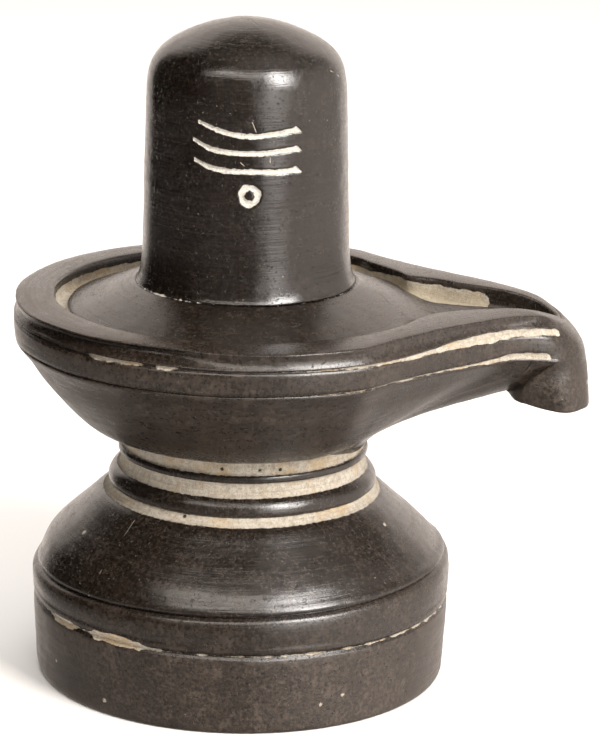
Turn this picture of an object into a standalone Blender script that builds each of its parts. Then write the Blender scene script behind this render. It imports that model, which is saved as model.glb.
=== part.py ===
"""A carved stone lingam on a round dish with a spout, all cut from one block.

The block stands on the flat underside of its drum. Z runs up through the drum, the ringed
neck, the dish and the upright shaft, and the spout points along +X. Metres throughout.
"""

import math

import bpy
import bmesh
from mathutils import Matrix, Vector

MM = 0.001
NODE = "lingam_stone"

TURN_STEPS = 56

# Drum, bell and ringed neck: radius and height in millimetres, from the foot up.
FOOT_PROFILE = [
    (46.0, 0.0), (46.5, 0.5), (46.8, 6.0), (47.2, 12.0), (47.4, 17.4),
    (46.8, 17.7), (46.8, 18.4), (47.4, 18.8), (47.6, 22.0), (47.4, 25.4),
    (46.8, 26.7), (46.3, 27.8), (45.4, 29.2), (43.9, 31.2), (42.1, 33.1),
    (39.9, 35.2), (37.6, 37.2), (35.4, 39.2), (33.6, 40.9), (32.5, 42.0),
    (31.8, 42.2), (30.6, 44.0), (31.0, 44.3), (30.3, 45.9), (29.1, 47.8),
    (28.6, 48.0), (27.8, 51.3), (28.3, 51.6), (28.2, 52.8), (27.8, 53.1),
    (27.6, 57.0), (27.0, 66.0),
]

# Upright shaft: radius and height, from inside the dish up to the crown.
SHAFT_PROFILE = [
    (24.0, 84.0), (24.6, 90.0), (24.6, 90.8), (24.0, 92.2), (23.5, 94.2),
    (23.1, 98.0), (22.9, 105.0), (22.7, 115.0), (22.3, 128.0), (22.1, 134.0),
    (21.8, 137.0), (21.2, 139.5), (20.2, 141.5), (18.5, 143.4), (15.9, 145.2),
    (12.8, 146.7), (9.2, 148.1), (5.2, 149.1), (2.2, 149.5),
]
SHAFT_TOP = 149.6
SHAFT_FOOT = 90.7
SHAFT_LEAN = math.radians(-0.5)

# Plan of the dish and spout. The step is an angle round the dish: 0 is the tip of the spout,
# and from PLAN_JOIN on, each curve runs on as an arc of its own radius to the back at 180.
PLAN_STEPS = (0, 5, 10, 15, 25, 35, 43, 50, 55, 60)
PLAN_JOIN = 60
BEAK_SIDE = 15

RIM_TOP = {
    "radius": 51.4,
    "height": 87.2,
    "points": [
        (71.0, 0.0, 83.2), (70.4, 3.3, 83.8), (68.5, 6.6, 85.0), (65.6, 9.8, 86.2), (57.2, 16.0, 87.0),
        (47.6, 23.6, 87.2), (39.6, 30.2, 87.2), (33.0, 36.3, 87.2), (28.8, 41.2, 87.2), (25.7, 44.5, 87.2),
    ],
}
RIM_MIDDLE = {
    "radius": 51.8,
    "height": 83.4,
    "points": [
        (72.9, 0.0, 82.2), (72.5, 4.2, 82.4), (70.8, 8.2, 82.6), (67.8, 11.7, 82.9), (59.8, 15.0, 83.3),
        (50.2, 22.4, 83.3), (41.8, 30.4, 83.1), (35.0, 37.4, 83.1), (29.6, 42.4, 83.3), (25.9, 44.9, 83.4),
    ],
}
RIM_LOW = {
    "radius": 51.5,
    "height": 78.0,
    "points": [
        (76.2, 0.0, 77.0), (75.6, 4.6, 77.0), (73.4, 9.0, 77.0), (69.4, 12.4, 77.1), (60.0, 14.9, 77.6),
        (49.9, 22.3, 77.7), (41.2, 29.2, 77.7), (33.6, 36.4, 77.8), (28.9, 41.8, 77.9), (25.7, 44.6, 78.0),
    ],
}
# The inner edge of the rim differs a little from side to side, as the hand cut it.
RIM_INNER_NEAR = {
    "radius": 42.6,
    "height": 87.4,
    "points": [
        (69.6, 0.0, 83.4), (67.8, 2.9, 84.8), (64.0, 5.6, 86.2), (59.5, 7.6, 87.1), (50.5, 9.6, 87.3),
        (43.5, 12.6, 87.4), (38.9, 17.4, 87.4), (36.1, 23.0, 87.4), (32.6, 27.6, 87.4), (28.6, 31.6, 87.4),
    ],
}
RIM_INNER_FAR = {
    "radius": 42.6,
    "height": 87.4,
    "points": [
        (69.6, 0.0, 83.4), (67.8, 2.9, 84.8), (64.0, 5.4, 86.2), (58.6, 7.9, 87.1), (50.0, 12.0, 87.3),
        (43.4, 16.0, 87.4), (37.4, 18.2, 87.4), (35.4, 21.4, 87.4), (32.1, 25.9, 87.4), (28.6, 30.2, 87.4),
    ],
}
FLOOR_EDGE = {
    "radius": 39.7,
    "height": 85.0,
    "points": [
        (66.5, 0.0, 83.6), (64.0, 1.6, 83.7), (59.5, 3.2, 83.8), (54.5, 4.8, 84.0), (47.0, 6.6, 84.0),
        (41.2, 9.2, 84.1), (36.9, 13.4, 84.6), (34.2, 20.4, 84.9), (30.9, 25.2, 85.0), (26.6, 29.5, 85.0),
    ],
}

# The turned-down beak, as rows of points from the tip round to its widest place.
BEAK_WAIST = [(77.5, 0.0, 70.3), (76.9, 4.9, 70.3), (74.2, 9.5, 70.4), (69.4, 12.6, 70.8)]
BEAK_FRONT = [(78.0, 0.0, 63.6), (77.3, 4.9, 63.7), (74.4, 9.4, 63.9), (69.4, 11.9, 64.3)]
BEAK_REAR = [(59.4, 0.0, 65.0), (60.5, 5.2, 64.9), (63.8, 9.3, 64.8), (69.4, 11.9, 64.3)]
BEAK_ROOT = [(59.1, 0.0, 65.4), (60.1, 5.6, 66.3), (63.3, 10.0, 69.5), (69.3, 12.5, 76.2)]

# Outer face of the rim: the rounding of its top edge, the two shallow hollows between the
# cuts, the cuts themselves, and the turn under the lower cut.
TOP_ROUNDING = (0.1, 0.7)
UPPER_HOLLOW = 0.5
UPPER_HOLLOW_SHARE = 0.5
LOWER_HOLLOW = 0.1
LOWER_HOLLOW_SHARE = 0.55
GROOVE_DEPTH = 0.55
GROOVE_WIDTH = 0.7
GROOVE_LIPS = (0.1, 0.2)
LOWER_CUT_DROPS = (0.15, 0.6)
UNDER_TURN = (0.2, 0.5)
RIM_SHOULDER_SHARE = 0.9

# On the near side the outer edge of the rim's top is ground back: plan step and length.
RIM_GROUND = ((0, 0.0), (76, 0.0), (92, 1.0), (108, 2.6), (122, 2.0), (135, 0.7), (150, 0.0), (180, 0.0))
RIM_GROUND_SINK = 0.12

# The cuts run out towards the spout's tip over these steps of the plan.
HOLLOW_FADE = (8, 20)
UPPER_CUT_FADE = (11, 14)
LOWER_CUT_FADE = (14, 19)

# Floor of the dish: a worn cone that rises to the shaft, and a raw trough beside the rim.
MOUND_HEIGHT = 91.8
MOUND_RADIUS = 22.0
MOUND_SLOPE = 0.388
MOUND_SHARES = (0.0, 0.25, 0.55, 0.82)
TROUGH_DEPTH = 1.5
TROUGH_LEAST = 1.2
TROUGH_SHARES = (0.18, 0.86)

# Underside of the bowl: share of the way out, and share of the way up.
BOWL_CURVE = [
    (0.0, 0.0), (0.14, 0.01), (0.3, 0.09), (0.45, 0.22), (0.6, 0.4), (0.78, 0.65), (0.9, 0.86), (1.0, 1.0),
]
BOWL_SHARES = (0.9, 0.76, 0.6, 0.44, 0.29, 0.14, 0.0)
BOWL_FOOT_RADIUS = 26.0
BOWL_FOOT_HEIGHT = 56.4
KEEL_FOOT_HEIGHT = 52.2
KEEL_BOW = 0.72
KEEL_FADE = (15, 60)
BOWL_CORE_RISE = 1.0

COLUMN_ANGLES = (
    0, 2.5, 5, 7.5, 10, 12.5, 15, 17.5, 21, 25, 30, 35, 39, 43, 46.5, 50, 55, 60,
    66, 72, 79, 86, 93, 100, 107, 114, 121, 129, 137, 145, 154, 163, 172,
)

# Engraved marks on the shaft: azimuth in degrees, with the front at -90, and height.
STROKE_WIDTH = 1.5
STROKE_DEPTH = 0.5
STROKES = [
    [(-117, 130.5), (-105, 128.9), (-95, 128.0), (-85, 127.7), (-72, 128.2), (-58, 128.8)],
    [(-120, 126.6), (-109, 124.8), (-97, 124.1), (-82, 124.0), (-69, 124.4), (-58, 124.7)],
    [(-119, 122.2), (-109, 120.7), (-98, 120.1), (-85, 120.1), (-72, 119.9), (-58, 120.1)],
]
DOT_AZIMUTH = -87
DOT_HEIGHT = 114.8
DOT_RADIUS = 1.75
CUT_STEPS = 12

STONE_COLOUR = (0.035, 0.028, 0.024)
STONE_ROUGHNESS = 0.28
WELD_DISTANCE = 0.01
TURN_WELD_DISTANCE = 0.05
SHARP_ANGLE = math.radians(35)


def clear_scene():
    for old in list(bpy.data.objects):
        bpy.data.objects.remove(old, do_unlink=True)


def new_collection(name, hidden=False):
    collection = bpy.data.collections.new(name)
    bpy.context.scene.collection.children.link(collection)
    collection.hide_render = hidden
    return collection


def stone_material(name, colour, roughness):
    material = bpy.data.materials.new(name)
    material.use_nodes = True
    shader = material.node_tree.nodes["Principled BSDF"]
    shader.inputs["Base Color"].default_value = (*colour, 1.0)
    shader.inputs["Roughness"].default_value = roughness
    shader.inputs["Metallic"].default_value = 0.0
    return material


def mesh_object(name, collection, vertices, faces=(), edges=()):
    mesh = bpy.data.meshes.new(name)
    mesh.from_pydata(vertices, edges, faces)
    mesh.update()
    piece = bpy.data.objects.new(name, mesh)
    collection.objects.link(piece)
    return piece


def turned(name, collection, profile, top):
    """A solid of revolution about Z, from a profile of radius and height given foot first."""
    line = [(0.0, top)] + list(reversed(profile)) + [(0.0, profile[0][1])]
    points = [(radius * MM, 0.0, height * MM) for radius, height in line]
    edges = [(i, i + 1) for i in range(len(points) - 1)]
    piece = mesh_object(name, collection, points, edges=edges)
    screw = piece.modifiers.new("turn", "SCREW")
    screw.axis = "Z"
    screw.steps = TURN_STEPS
    screw.render_steps = TURN_STEPS
    screw.use_merge_vertices = True
    screw.merge_threshold = TURN_WELD_DISTANCE * MM
    return piece


def hermite(steps, values, at):
    """Smooth curve through the values, with slopes from their neighbours."""
    i = max(k for k in range(len(steps) - 1) if steps[k] <= at)
    span = steps[i + 1] - steps[i]
    share = (at - steps[i]) / span

    def slope(k):
        low = max(k - 1, 0)
        high = min(k + 1, len(steps) - 1)
        return (values[high] - values[low]) / (steps[high] - steps[low])

    a = values[i]
    b = values[i + 1]
    c = slope(i) * span
    d = slope(i + 1) * span
    cubic = 2 * a - 2 * b + c + d
    square = 3 * b - 3 * a - 2 * c - d
    return ((cubic * share + square) * share + c) * share + a


def mirrored(steps, points):
    """The same points carried on past the spout's tip, so that the curve is smooth there."""
    angles = [-step for step in reversed(steps[1:])] + list(steps)
    folded = [(x, -y, z) for x, y, z in reversed(points[1:])] + list(points)
    return angles, folded


def through(steps, points, angle):
    angles, folded = mirrored(steps, points)
    return Vector([hermite(angles, [p[axis] for p in folded], angle) for axis in range(3)])


def plan_point(curve, angle):
    """A point of a plan curve, on the near half of the dish, in millimetres."""
    if angle <= PLAN_JOIN:
        return through(PLAN_STEPS, curve["points"], angle)
    last = curve["points"][-1]
    start = math.degrees(math.atan2(last[1], last[0]))
    share = (angle - PLAN_JOIN) / (180 - PLAN_JOIN)
    azimuth = math.radians(start + share * (180 - start))
    return Vector((curve["radius"] * math.cos(azimuth), curve["radius"] * math.sin(azimuth), curve["height"]))


def beak_point(row, angle):
    return through(PLAN_STEPS[:4], row, angle)


def outward(curve, angle):
    """The level direction that points out of the stone at a plan curve."""
    step = 0.5
    before = angle - step if angle > step else -step
    run = plan_point(curve, min(angle + step, 180)) - plan_point(curve, before)
    return Vector((run.y, -run.x, 0.0)).normalized()


def ramp(value, start, end):
    share = min(max((value - start) / (end - start), 0.0), 1.0)
    return share * share * (3 - 2 * share)


def rim_top(angle, near):
    """The outer edge of the rim's top."""
    point = plan_point(RIM_TOP, angle)
    if not near:
        return point
    ground = hermite([step for step, _ in RIM_GROUND], [length for _, length in RIM_GROUND], angle)
    ground = max(ground, 0.0)
    return point - outward(RIM_MIDDLE, angle) * ground - Vector((0.0, 0.0, RIM_GROUND_SINK * ground))


def rim_side(angle, near):
    """The outer face of the rim, from its top edge down to the scribed line under it."""
    top = rim_top(angle, near)
    middle = plan_point(RIM_MIDDLE, angle)
    low = plan_point(RIM_LOW, angle)
    out = outward(RIM_MIDDLE, angle)
    fade = ramp(angle, *HOLLOW_FADE)
    upper_cut = GROOVE_DEPTH * ramp(angle, *UPPER_CUT_FADE)
    lower_cut = GROOVE_DEPTH * ramp(angle, *LOWER_CUT_FADE)
    drop = Vector((0.0, 0.0, -1.0))
    half = GROOVE_WIDTH / 2
    return [
        top + out * TOP_ROUNDING[0] + drop * TOP_ROUNDING[1],
        top.lerp(middle, UPPER_HOLLOW_SHARE) - out * UPPER_HOLLOW * fade,
        middle - drop * (half + GROOVE_LIPS[0]),
        middle - drop * half - out * upper_cut,
        middle + drop * half - out * upper_cut,
        middle + drop * (half + GROOVE_LIPS[1]),
        middle.lerp(low, LOWER_HOLLOW_SHARE) - out * LOWER_HOLLOW * fade,
        low,
    ] + [low + drop * below - out * lower_cut for below in LOWER_CUT_DROPS]


def bowl_height(share):
    steps = [s for s, _ in BOWL_CURVE]
    heights = [h for _, h in BOWL_CURVE]
    return hermite(steps, heights, min(max(share, 0.0), 1.0))


def underside(angle, start):
    """Points from under the rim, or from the beak's root, in to the neck."""
    azimuth = math.radians(angle)
    spout = 1 - ramp(angle, *KEEL_FADE)
    foot_height = BOWL_FOOT_HEIGHT + spout * (KEEL_FOOT_HEIGHT - BOWL_FOOT_HEIGHT)
    foot = Vector((BOWL_FOOT_RADIUS * math.cos(azimuth), BOWL_FOOT_RADIUS * math.sin(azimuth), foot_height))
    points = []
    for share in BOWL_SHARES:
        point = foot.lerp(start, share)
        rise = bowl_height(share) * (1 - spout) + share ** KEEL_BOW * spout
        point.z = foot.z + (start.z - foot.z) * rise
        points.append(point)
    return points


def floor_points(curve, angle):
    """The raw trough beside the rim, and the worn mound up to the shaft."""
    rim = plan_point(curve, angle)
    edge = plan_point(FLOOR_EDGE, angle)
    azimuth = math.radians(angle)
    start = Vector((MOUND_RADIUS * math.cos(azimuth), MOUND_RADIUS * math.sin(azimuth), MOUND_HEIGHT))
    points = []
    for share in MOUND_SHARES:
        point = start.lerp(edge, share)
        reach = math.hypot(point.x, point.y)
        point.z = max(MOUND_HEIGHT - MOUND_SLOPE * (reach - MOUND_RADIUS), edge.z)
        points.append(point)
    bottom = min(edge.z - TROUGH_DEPTH, rim.z - TROUGH_LEAST)
    inner = edge.lerp(rim, TROUGH_SHARES[0])
    outer = edge.lerp(rim, TROUGH_SHARES[1])
    inner.z = bottom
    outer.z = bottom
    return points + [edge, inner, outer, rim]


def column(angle, curve, near=False):
    """One section of the dish, from the top of the mound over the rim to the neck."""
    rim = plan_point(curve, angle)
    top = rim_top(angle, near)
    shoulder = rim.lerp(top, RIM_SHOULDER_SHARE)
    side = rim_side(angle, near)
    if angle < BEAK_SIDE:
        beak = [beak_point(row, angle) for row in (BEAK_WAIST, BEAK_FRONT, BEAK_REAR, BEAK_ROOT)]
    else:
        under = side[-1] - outward(RIM_LOW, angle) * UNDER_TURN[0] - Vector((0.0, 0.0, UNDER_TURN[1]))
        beak = [under] * 4
    return floor_points(curve, angle) + [shoulder, top] + side + beak + underside(angle, beak[-1])


def dish(name, collection):
    """The bowl, its rim, the spout and the beak, lofted from sections round the stone."""
    far = [column(angle, RIM_INNER_FAR) for angle in COLUMN_ANGLES]
    back = [column(180, RIM_INNER_FAR)]
    near = [
        [Vector((p.x, -p.y, p.z)) for p in column(angle, RIM_INNER_NEAR, near=True)]
        for angle in reversed(COLUMN_ANGLES[1:])
    ]
    sections = far + back + near
    rows = len(sections[0])
    vertices = [tuple(p * MM) for section in sections for p in section]
    crown = len(vertices)
    vertices.append((0.0, 0.0, MOUND_HEIGHT * MM))
    foot = len(vertices)
    vertices.append((0.0, 0.0, (BOWL_FOOT_HEIGHT + BOWL_CORE_RISE) * MM))
    faces = []
    for i in range(len(sections)):
        a = i * rows
        b = ((i + 1) % len(sections)) * rows
        faces.append((crown, a, b))
        faces.append((foot, b + rows - 1, a + rows - 1))
        faces.extend((a + k, a + k + 1, b + k + 1, b + k) for k in range(rows - 1))
    piece = mesh_object(name, collection, vertices, faces=faces)
    tidy_mesh(piece.data)
    return piece


def tidy_mesh(mesh):
    """Welds the rows that run together away from the beak, and turns the faces outwards."""
    work = bmesh.new()
    work.from_mesh(mesh)
    bmesh.ops.remove_doubles(work, verts=work.verts, dist=WELD_DISTANCE * MM)
    bmesh.ops.triangulate(work, faces=work.faces)
    bmesh.ops.recalc_face_normals(work, faces=work.faces)
    work.to_mesh(mesh)
    work.free()


def shaft_radius(height):
    heights = [h for _, h in SHAFT_PROFILE]
    radii = [r for r, _ in SHAFT_PROFILE]
    return hermite(heights, radii, height)


def lean():
    """The shaft stands a hair off plumb, turned about the middle of its foot."""
    foot = Matrix.Translation((0.0, 0.0, SHAFT_FOOT * MM))
    return foot @ Matrix.Rotation(SHAFT_LEAN, 4, "Y") @ foot.inverted()


def stroke_centre(azimuth, height):
    """Centre of the cutting tube, so that it bites to the stroke's depth and width."""
    stand_off = cutter_radius() - STROKE_DEPTH
    reach = shaft_radius(height) + stand_off
    angle = math.radians(azimuth)
    return Vector((reach * math.cos(angle), reach * math.sin(angle), height)) * MM


def cutter_radius():
    return (STROKE_WIDTH ** 2 / 4 + STROKE_DEPTH ** 2) / (2 * STROKE_DEPTH)


def tube(name, collection, centres, closed=False):
    """A round tube along the points, made a closed mesh that can cut."""
    curve = bpy.data.curves.new(name, "CURVE")
    curve.dimensions = "3D"
    curve.bevel_depth = cutter_radius() * MM
    curve.bevel_resolution = 2
    curve.use_fill_caps = True
    spline = curve.splines.new("POLY")
    spline.points.add(len(centres) - 1)
    for point, centre in zip(spline.points, centres):
        point.co = (*centre, 1.0)
    spline.use_cyclic_u = closed
    guide = bpy.data.objects.new(name + "_guide", curve)
    collection.objects.link(guide)
    bpy.context.view_layer.update()
    graph = bpy.context.evaluated_depsgraph_get()
    mesh = bpy.data.meshes.new_from_object(guide.evaluated_get(graph))
    work = bmesh.new()
    work.from_mesh(mesh)
    bmesh.ops.remove_doubles(work, verts=work.verts, dist=WELD_DISTANCE * MM)
    bmesh.ops.recalc_face_normals(work, faces=work.faces)
    work.to_mesh(mesh)
    work.free()
    piece = bpy.data.objects.new(name, mesh)
    piece.matrix_world = lean()
    collection.objects.link(piece)
    bpy.data.objects.remove(guide, do_unlink=True)
    return piece


def stroke_cutter(name, collection, marks):
    """One of the three curved strokes, followed at equal steps of azimuth."""
    azimuths = [azimuth for azimuth, _ in marks]
    heights = [height for _, height in marks]
    centres = []
    for i in range(CUT_STEPS + 1):
        azimuth = azimuths[0] + (azimuths[-1] - azimuths[0]) * i / CUT_STEPS
        azimuth = min(azimuth, azimuths[-1] - 0.001)
        centres.append(stroke_centre(azimuth, hermite(azimuths, heights, azimuth)))
    return tube(name, collection, centres)


def dot_cutter(name, collection):
    """The small ring under the strokes."""
    radius = shaft_radius(DOT_HEIGHT)
    centres = []
    for i in range(CUT_STEPS):
        turn = 2 * math.pi * i / CUT_STEPS
        azimuth = DOT_AZIMUTH + math.degrees(DOT_RADIUS * math.cos(turn) / radius)
        centres.append(stroke_centre(azimuth, DOT_HEIGHT + DOT_RADIUS * math.sin(turn)))
    return tube(name, collection, centres, closed=True)


def combine(piece, other, operation):
    other.hide_render = True
    other.display_type = "WIRE"
    modifier = piece.modifiers.new(other.name, "BOOLEAN")
    modifier.operation = operation
    modifier.solver = "EXACT"
    modifier.object = other


def build():
    clear_scene()
    stone = new_collection("shiva_lingam")
    helpers = new_collection("helpers", hidden=True)
    piece = dish(NODE, stone)
    piece.data.materials.append(stone_material("polished_black_stone", STONE_COLOUR, STONE_ROUGHNESS))
    foot = turned("foot", helpers, FOOT_PROFILE, FOOT_PROFILE[-1][1])
    shaft = turned("shaft", helpers, SHAFT_PROFILE, SHAFT_TOP)
    shaft.matrix_world = lean()
    combine(piece, foot, "UNION")
    combine(piece, shaft, "UNION")
    for i, marks in enumerate(STROKES):
        combine(piece, stroke_cutter(f"stroke_{i + 1}", helpers, marks), "DIFFERENCE")
    combine(piece, dot_cutter("dot", helpers), "DIFFERENCE")
    piece.data.shade_smooth()
    piece.data.set_sharp_from_angle(angle=SHARP_ANGLE)


build()
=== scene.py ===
"""A carved stone lingam on a spouted dish, finished as polished dark stone with raw cuts.

The whole carving is one closed skin. It is made of rows that run down the stone, from the
crown of the shaft over the dish, the rim and the beak to the ringed neck, the bell and the
drum. Each row goes once round the stone. The stone's lengths are in millimetres until its mesh
is made; the floor, lamps and camera are in metres. The frame is the same as the solid's: Z up,
the spout along +X.
"""

import math

import bpy
import numpy as np
from mathutils import Matrix, Vector, noise

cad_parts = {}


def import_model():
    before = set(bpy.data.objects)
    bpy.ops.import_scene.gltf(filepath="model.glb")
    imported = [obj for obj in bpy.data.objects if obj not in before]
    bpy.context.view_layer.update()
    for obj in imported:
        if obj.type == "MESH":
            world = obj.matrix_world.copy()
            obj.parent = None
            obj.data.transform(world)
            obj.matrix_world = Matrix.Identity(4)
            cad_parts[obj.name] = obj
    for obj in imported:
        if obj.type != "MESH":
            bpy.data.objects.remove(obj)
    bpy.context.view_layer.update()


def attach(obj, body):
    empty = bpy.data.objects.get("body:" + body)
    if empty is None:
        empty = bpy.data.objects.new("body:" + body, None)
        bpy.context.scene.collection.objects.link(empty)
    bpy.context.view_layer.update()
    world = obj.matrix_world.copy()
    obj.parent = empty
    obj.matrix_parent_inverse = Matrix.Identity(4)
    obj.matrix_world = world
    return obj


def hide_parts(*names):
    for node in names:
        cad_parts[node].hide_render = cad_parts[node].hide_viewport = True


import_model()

MM = 0.001
NODE = "lingam_stone"

# A fixed start for the noise that moves the points, so that every run makes the same stone.
NOISE_SEED = 7
noise.seed_set(NOISE_SEED)

# Columns round the stone: start step, end step and count. The step is an angle round the
# dish, 0 at the tip of the spout. It runs up the far side and comes back down the near side.
FAR_RUNS = [(0, 15, 14), (15, 60, 34), (60, 180, 64)]
NEAR_RUNS = [(180, 124, 46), (124, 54, 84), (54, 15, 70), (15, 0, 22)]
HALF_TURN = 180
# The step at the beak's widest place, where its side turns to its back.
BEAK_SIDE = 15

# How far inside a raw cut a point is, in millimetres. It is below zero on dark stone.
NO_CUT = -2.0
FADED_CUT = 0.5

# Upright shaft: radius and height from the foot up, and rows as start, end and count. Above
# the height of the cap the crown is rounded off.
SHAFT_TOP = 149.6
SHAFT_PROFILE = [
    (24.7, 90.6), (24.5, 91.0), (24.0, 92.0), (23.5, 94.0), (23.1, 98.0), (22.9, 105.0),
    (22.7, 115.0), (22.3, 128.0), (22.1, 134.0), (21.8, 137.0), (21.2, 139.5), (20.2, 141.5),
    (18.5, 143.4), (15.9, 145.2), (12.8, 146.7), (9.2, 148.1), (5.2, 149.1), (2.2, 149.5),
]
SHAFT_ROWS = [(149.4, 147.8, 6), (147.8, 141.0, 12), (141.0, 131.9, 12), (131.9, 118.6, 40),
              (118.6, 111.6, 18), (111.6, 94.0, 14), (94.0, 90.6, 6)]
CAP_RADIUS = 5.2
CAP_HEIGHT = 149.1
SHAFT_FOOT = 90.7
SHAFT_LEAN = math.radians(-0.5)
SHAFT_WEAR = 0.1

# Engraved marks: azimuth in degrees with the front at -90, and height.
STROKES = [
    [(-117, 130.5), (-105, 128.9), (-95, 128.0), (-85, 127.7), (-72, 128.2), (-58, 128.8)],
    [(-120, 126.6), (-109, 124.8), (-97, 124.1), (-82, 124.0), (-69, 124.4), (-58, 124.7)],
    [(-119, 122.2), (-109, 120.7), (-98, 120.1), (-85, 120.1), (-72, 119.9), (-58, 120.1)],
]
STROKE_HALF = 0.6
STROKE_DEPTH = 0.45
STROKE_WALL = (-0.05, 0.4)
# How a stroke wanders and how ragged its edges are: size, and how often it repeats in a turn.
STROKE_DRIFT = (0.09, 9)
STROKE_RAGGED = (0.18, 14)
STROKE_NOISE = 2.0
# The left end is thinner and the right end thicker: share of the width, and degrees it takes.
STROKE_LEFT = (0.28, 14)
STROKE_RIGHT = (0.3, 6)
DOT_AZIMUTH = -87
DOT_HEIGHT = 114.8
DOT_RADIUS = 1.75
DOT_HALF = 0.7
DOT_SQUASH = 0.96
# The ring's uneven width: size, waves in a turn and where they start.
DOT_WAVES = ((0.12, 3, 0.8), (0.08, 7, 0.0))

# The chipped line round the shaft's foot, mostly on the left.
LIP_SIZE = 0.75
LIP_SHARE = 0.35
LIP_LEFT_SHARE = 0.7
LIP_AZIMUTH = -138
LIP_SPREAD = 26
LIP_NOISE = (28, 31.0)
LIP_NOISE_RANGE = 0.9
LIP_ON_SHAFT = (90.8, 91.9)
LIP_ON_MOUND = (0.0, 0.06)

# Plan of the dish and the spout. Each curve has its points at the plan steps, and is an arc
# of its radius and height past the join.
PLAN_STEPS = (0, 5, 10, 15, 25, 35, 43, 50, 55, 60)
PLAN_JOIN = 60
PLAN_ARC_STEPS = (66, 72, 80)
STEP_APART = 0.5
RIM_TOP = {"radius": 51.4, "height": 87.2, "points": [
    (71.0, 0.0, 83.2), (70.4, 3.3, 83.8), (68.5, 6.6, 85.0), (65.6, 9.8, 86.2), (57.2, 16.0, 87.0),
    (47.6, 23.6, 87.2), (39.6, 30.2, 87.2), (33.0, 36.3, 87.2), (28.8, 41.2, 87.2), (25.7, 44.5, 87.2),
]}
RIM_MIDDLE = {"radius": 51.8, "height": 83.4, "points": [
    (72.9, 0.0, 82.2), (72.5, 4.2, 82.4), (70.8, 8.2, 82.6), (67.8, 11.7, 82.9), (59.8, 15.0, 83.3),
    (50.2, 22.4, 83.3), (41.8, 30.4, 83.1), (35.0, 37.4, 83.1), (29.6, 42.4, 83.3), (25.9, 44.9, 83.4),
]}
RIM_LOW = {"radius": 51.5, "height": 78.0, "points": [
    (76.2, 0.0, 77.0), (75.6, 4.6, 77.0), (73.4, 9.0, 77.0), (69.4, 12.4, 77.1), (60.0, 14.9, 77.6),
    (49.9, 22.3, 77.7), (41.2, 29.2, 77.7), (33.6, 36.4, 77.8), (28.9, 41.8, 77.9), (25.7, 44.6, 78.0),
]}
RIM_INNER_NEAR = {"radius": 42.6, "height": 87.4, "points": [
    (69.6, 0.0, 83.4), (67.8, 2.9, 84.8), (64.0, 5.6, 86.2), (59.5, 7.6, 87.1), (50.5, 9.6, 87.3),
    (43.5, 12.6, 87.4), (38.9, 17.4, 87.4), (36.1, 23.0, 87.4), (32.6, 27.6, 87.4), (28.6, 31.6, 87.4),
]}
RIM_INNER_FAR = {"radius": 43.0, "height": 87.4, "points": [
    (69.6, 0.0, 83.4), (67.8, 2.9, 84.8), (64.0, 5.4, 86.2), (58.6, 7.9, 87.1), (50.0, 12.0, 87.3),
    (43.4, 16.0, 87.4), (37.4, 18.2, 87.4), (35.4, 21.4, 87.4), (32.1, 25.9, 87.4), (28.6, 30.2, 87.4),
]}
FLOOR_EDGE = {"radius": 39.7, "height": 85.0, "points": [
    (66.5, 0.0, 83.0), (64.0, 1.6, 83.5), (59.5, 3.2, 83.8), (54.5, 4.8, 84.0), (47.0, 6.6, 84.0),
    (41.2, 9.2, 84.1), (36.9, 13.4, 84.6), (34.2, 20.4, 84.9), (30.9, 25.2, 85.0), (26.6, 29.5, 85.0),
]}

# The mound round the shaft. Its rows are shares of the way from its top to the floor's edge.
MOUND_TOP = (24.6, 90.5)
MOUND_SHARES = (0.0, 0.03, 0.08, 0.16, 0.25, 0.34, 0.43, 0.52, 0.61, 0.7, 0.78, 0.86, 0.93)
MOUND_HEIGHT = 91.8
MOUND_RADIUS = 22.0
MOUND_SLOPE = 0.388
MOUND_ROUNDING = 0.05
MOUND_EDGE = (0.75, 1.0)
MOUND_EDGE_CUT = 1.6
MOUND_WEAR = 0.25
MOUND_TOP_WEAR = 0.15
MOUND_TOP_SHARE = 0.05

# The raw trough beside the rim. A floor row has its share across, share of the depth and how
# far it is inside the cut. A wall row has its share up, how far in it lies, how far it is
# inside the cut by the spout and by the dish, and how much duller it is by the spout.
TROUGH_DEPTH = 1.5
TROUGH_BELOW_RIM = 1.2
TROUGH_FLOOR = (
    (0.06, 0.25, 0.3), (0.14, 0.75, 0.8), (0.24, 0.95, 1.2), (0.45, 1.0, 1.5), (0.66, 1.0, 1.4),
    (0.8, 0.9, 0.9), (0.88, 0.7, 0.5),
)
TROUGH_WALL = (
    (0.3, 0.06, 0.9, 0.5, 0.5), (0.5, 0.04, 0.55, 0.1, 0.5), (0.72, 0.02, 0.1, -0.8, 0.2),
    (0.9, 0.005, -0.6, -1.0, 0.2),
)
TROUGH_EDGE_CUT = -0.1
TROUGH_END = (17.5, 19.5)
TROUGH_WEAR = 0.5
TROUGH_SPOUT_WEAR = 0.3
TROUGH_WALL_WEAR = 0.25
TROUGH_RAGGED = 0.35
TROUGH_NOISE = (20, 55.0)
# The steps over which the spout opens into the dish.
SPOUT_END = (50, 60)

# How far the outer edge of the rim's top is ground back, against the azimuth in degrees.
RIM_GROUND = [
    (-180, 0.0), (-150, 0.0), (-135, 0.7), (-122, 2.0), (-108, 2.6), (-92, 1.0), (-76, 0.0), (180, 0.0),
]
RIM_GROUND_SINK = 0.12
# Rows over the rim's top: share of the way out, and lift.
RIM_CROWN = (
    (0.02, -0.02), (0.07, 0.12), (0.16, 0.2), (0.32, 0.26), (0.5, 0.28), (0.68, 0.24), (0.82, 0.15),
    (0.93, 0.02),
)
RIM_EDGE_DROP = 0.12
RIM_WEAR = 0.42
# On the left the rim's top is made lighter and duller: partly dust, partly a painted reflection of the
# bright screen it mirrors there. The second value gives the degrees left of the spout over which this comes
# in.
RIM_LEFT_DUST_AND_SHEEN = 0.18
RIM_LEFT_DUST_AND_SHEEN_START = (100, 130)

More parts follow.
